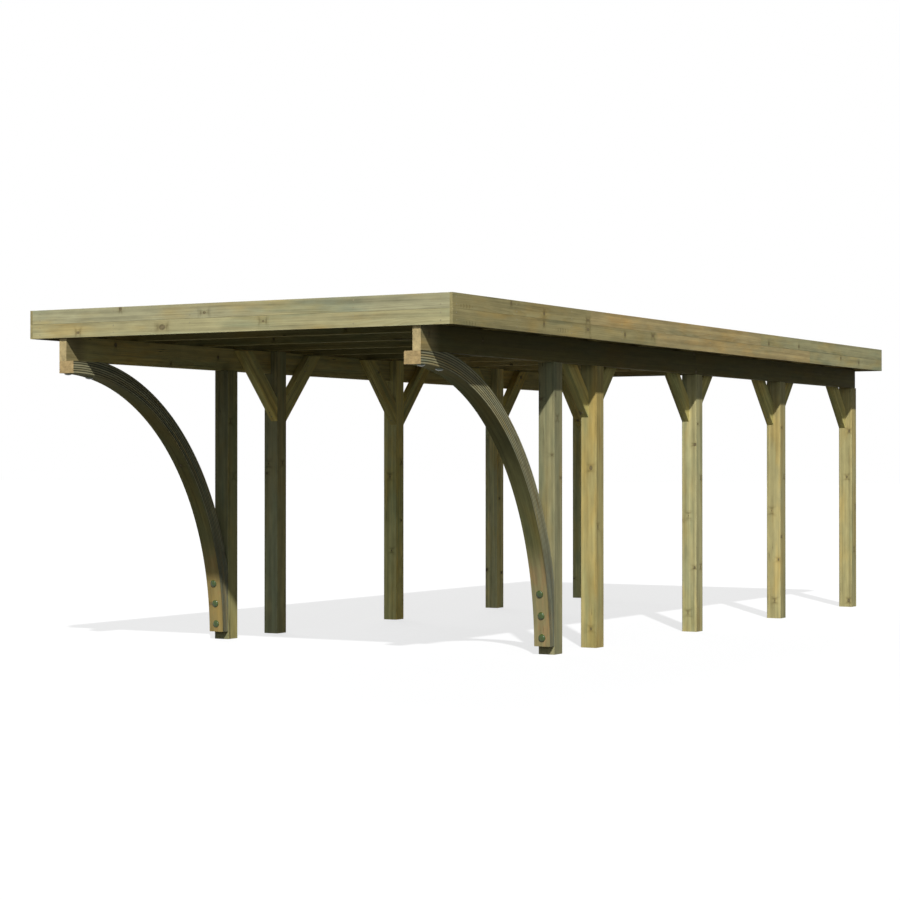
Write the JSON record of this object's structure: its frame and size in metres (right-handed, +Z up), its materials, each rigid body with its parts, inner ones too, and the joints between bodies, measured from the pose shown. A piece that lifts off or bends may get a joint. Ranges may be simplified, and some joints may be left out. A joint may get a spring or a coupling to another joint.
{
  "type": "timber carport",
  "caption": "Flat-roofed open timber carport on two rows of square posts, with curved laminated arches at the entrance.",
  "frame": {"origin": "on the ground, midway across and midway along the roof", "axes": "+Z up, +Y from the entrance to the rear, +X to the right seen from the entrance"},
  "size_m": [3.136, 7.412, 2.214],
  "materials": {
    "post_timber": "planed, pressure treated",
    "beam_timber": "planed, pressure treated",
    "arch_timber": "laminated, pressure treated",
    "brace_timber": "planed, pressure treated",
    "rafter_timber": "planed, pressure treated",
    "fascia_board": "planed, pressure treated",
    "roof_sheet": "satin"
  },
  "bodies": {
    "root": {"post_left_1": "post_timber", "post_left_2": "post_timber", "braces_left_2": "brace_timber", "post_left_3": "post_timber", "braces_left_3": "brace_timber", "post_left_4": "post_timber", "braces_left_4": "brace_timber", "post_left_5": "post_timber", "braces_left_5": "brace_timber", "beam_left_front": "beam_timber", "beam_left_rear": "beam_timber", "arch_left": "arch_timber", "fascia_left": "fascia_board", "post_right_1": "post_timber", "post_right_2": "post_timber", "braces_right_2": "brace_timber", "post_right_3": "post_timber", "braces_right_3": "brace_timber", "post_right_4": "post_timber", "braces_right_4": "brace_timber", "post_right_5": "post_timber", "braces_right_5": "brace_timber", "beam_right_front": "beam_timber", "beam_right_rear": "beam_timber", "arch_right": "arch_timber", "fascia_right": "fascia_board", "fascia_front": "fascia_board", "fascia_rear": "fascia_board", "rafter_1": "rafter_timber", "rafter_2": "rafter_timber", "rafter_3": "rafter_timber", "rafter_4": "rafter_timber", "rafter_5": "rafter_timber", "rafter_6": "rafter_timber", "rafter_7": "rafter_timber", "rafter_8": "rafter_timber", "rafter_9": "rafter_timber", "rafter_10": "rafter_timber", "rafter_11": "rafter_timber", "roof_sheet_1": "roof_sheet", "roof_sheet_2": "roof_sheet", "roof_sheet_3": "roof_sheet", "roof_sheet_4": "roof_sheet"}
  },
  "joints": []
}
